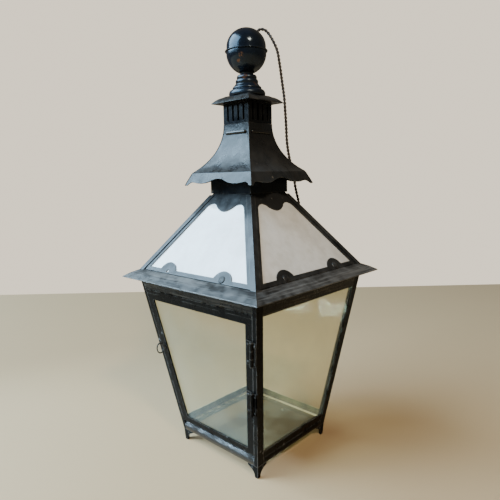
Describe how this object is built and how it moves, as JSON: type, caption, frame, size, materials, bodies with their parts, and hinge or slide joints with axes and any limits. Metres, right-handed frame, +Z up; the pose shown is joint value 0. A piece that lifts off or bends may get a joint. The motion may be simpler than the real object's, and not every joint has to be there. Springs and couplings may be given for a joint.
{
  "type": "lantern",
  "caption": "Tapered square glazed lantern with a hinged door and loop pull, pyramid roof of opal panes, bell-shaped hood with a slotted vent box, ball finial and a trailing flex.",
  "frame": {"origin": "middle of the square that the four feet stand on, on the ground", "axes": "+Z up, -Y out of the hinged door, +X towards the door's hinge side"},
  "size_m": [0.4081, 0.434, 0.8074],
  "materials": {
    "black_steel": "worn satin black",
    "edge_steel": "worn satin, edges rubbed bare",
    "hood_steel": "satin blue-black",
    "roof_steel": "worn satin, dusty",
    "cornice_steel": "dull, dusty",
    "ball_enamel": "gloss, worn",
    "aged_brass": "aged",
    "zinc_steel": "plated",
    "dark_resin": "moulded",
    "flex_braid": "braided",
    "black_rubber": "matt",
    "clear_glass": "clear, slightly green",
    "opal_glass": "opal"
  },
  "bodies": {
    "case": {"corner_post_right": "black_steel", "foot_right": "edge_steel", "hip_bar_right": "hood_steel", "corner_post_back": "black_steel", "foot_back": "edge_steel", "hip_bar_back": "hood_steel", "corner_post_left": "black_steel", "foot_left": "edge_steel", "hip_bar_left": "hood_steel", "corner_post_front": "black_steel", "foot_front": "edge_steel", "hip_bar_front": "hood_steel", "bottom_rail_right": "black_steel", "head_rail_right": "black_steel", "side_glass_right": "clear_glass", "bottom_rail_back": "black_steel", "head_rail_back": "black_steel", "side_glass_back": "clear_glass", "bottom_rail_left": "black_steel", "head_rail_left": "black_steel", "side_glass_left": "clear_glass", "door_sill": "black_steel", "head_rail_door": "black_steel", "base_glass": "clear_glass", "hinge_upper_post_leaf": "edge_steel", "hinge_upper_pin": "zinc_steel", "hinge_lower_post_leaf": "edge_steel", "hinge_lower_pin": "zinc_steel", "cornice": "cornice_steel", "roof_frame_right": "roof_steel", "roof_pane_right": "opal_glass", "roof_frame_back": "roof_steel", "roof_pane_back": "opal_glass", "roof_frame_left": "roof_steel", "roof_pane_left": "opal_glass", "roof_frame_door": "roof_steel", "roof_pane_door": "opal_glass", "neck": "hood_steel", "bell_hood": "hood_steel", "vent_box": "hood_steel", "vent_cap": "hood_steel", "finial_base": "ball_enamel", "ball_lower": "ball_enamel", "ball_band": "ball_enamel", "ball_upper": "ball_enamel", "stem": "aged_brass", "stem_nut_upper": "aged_brass", "stem_nut_lower": "aged_brass", "bridge_bar": "zinc_steel", "lampholder": "dark_resin", "lampholder_ring": "dark_resin", "inner_flex": "flex_braid", "flex_grommet": "black_rubber", "flex": "flex_braid"},
    "door": {"door_frame": "black_steel", "door_glass": "clear_glass", "hinge_upper_door_leaf": "edge_steel", "hinge_lower_door_leaf": "edge_steel"},
    "latch": {"latch_handle": "edge_steel", "latch_cam": "zinc_steel"}
  },
  "joints": [
    {"name": "door_hinge", "type": "hinge", "parent": "case", "child": "door", "pos_m": [0.12284, -0.1345, 0.20348], "axis": [0.1563, -0.1563, 0.9753], "range_deg": [0, 60]},
    {"name": "latch_turn", "type": "hinge", "parent": "door", "child": "latch", "pos_m": [-0.11526, -0.13156, 0.206], "axis": [0, -0.9874, -0.1582], "range_deg": [0, 90]}
  ]
}
